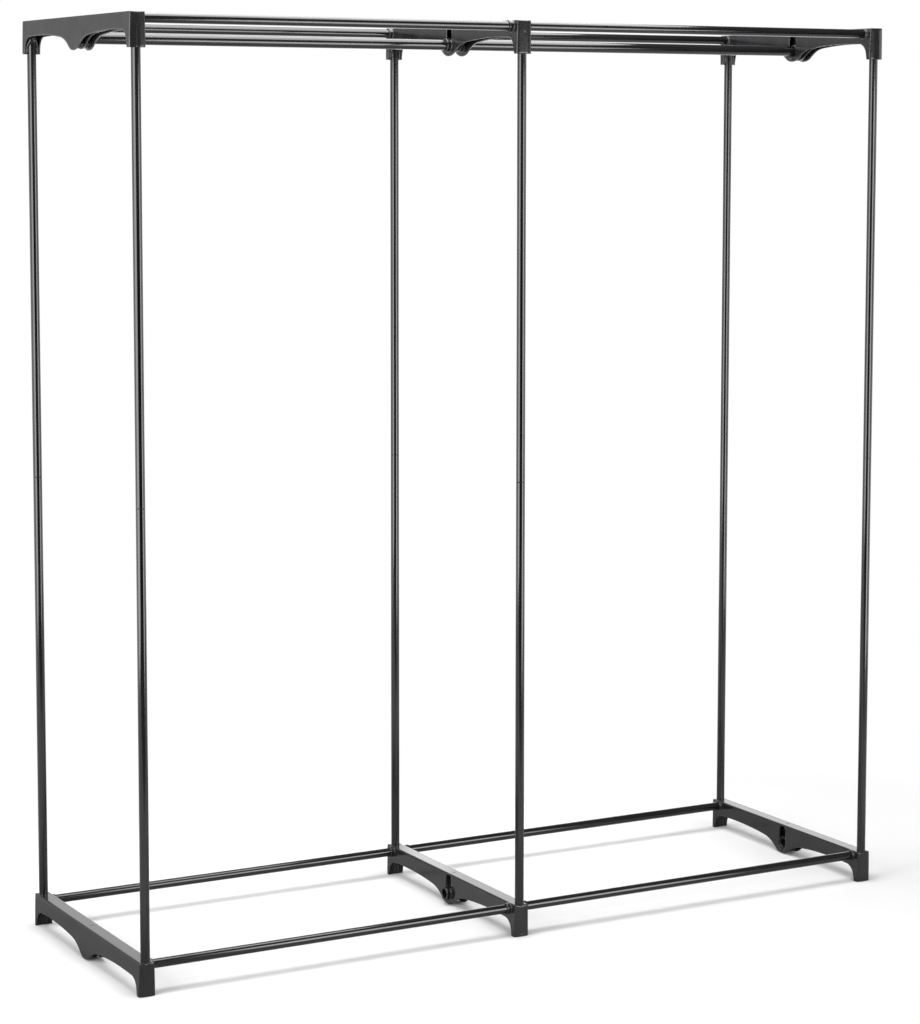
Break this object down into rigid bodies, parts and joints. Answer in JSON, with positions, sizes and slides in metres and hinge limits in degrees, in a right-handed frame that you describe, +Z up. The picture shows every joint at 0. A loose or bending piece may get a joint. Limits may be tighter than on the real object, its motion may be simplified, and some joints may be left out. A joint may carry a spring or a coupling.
{
  "type": "portable closet",
  "caption": "Free-standing open clothes frame of thin black tubes pushed into moulded cross rails, with a hanging rod across each bay.",
  "frame": {"origin": "on the floor, under the middle of the object's box", "axes": "+X to the right as seen from the front, +Y from front to rear, +Z up"},
  "size_m": [1.512, 0.495, 1.626],
  "materials": {
    "rail_plastic": "black, moulded, fine matt grain",
    "tube_enamel": "black, baked enamel, semi-gloss",
    "rod_enamel": "black, baked enamel, semi-gloss"
  },
  "bodies": {
    "base": {"bottom_rail_left": "rail_plastic", "bottom_rail_middle": "rail_plastic", "bottom_rail_right": "rail_plastic", "bottom_tube_front_left": "tube_enamel", "bottom_tube_front_right": "tube_enamel", "bottom_tube_rear_left": "tube_enamel", "bottom_tube_rear_right": "tube_enamel", "lower_post_front_left": "tube_enamel", "lower_post_front_middle": "tube_enamel", "lower_post_front_right": "tube_enamel", "lower_post_rear_left": "tube_enamel", "lower_post_rear_middle": "tube_enamel", "lower_post_rear_right": "tube_enamel"},
    "upper_posts": {"upper_post_front_left": "tube_enamel", "upper_post_front_middle": "tube_enamel", "upper_post_front_right": "tube_enamel", "upper_post_rear_left": "tube_enamel", "upper_post_rear_middle": "tube_enamel", "upper_post_rear_right": "tube_enamel"},
    "top_frame": {"top_rail_left": "rail_plastic", "top_rail_middle": "rail_plastic", "top_rail_right": "rail_plastic", "top_tube_front_left": "tube_enamel", "top_tube_front_right": "tube_enamel", "top_tube_rear_left": "tube_enamel", "top_tube_rear_right": "tube_enamel", "hanging_rod_left": "rod_enamel", "hanging_rod_right": "rod_enamel"}
  },
  "joints": [
    {"name": "upper_posts_lift", "type": "slide", "parent": "base", "child": "upper_posts", "axis": [0, 0, 1], "range_m": [0, 0.045]},
    {"name": "top_frame_lift", "type": "slide", "parent": "upper_posts", "child": "top_frame", "axis": [0, 0, 1], "range_m": [0, 0.045]}
  ]
}
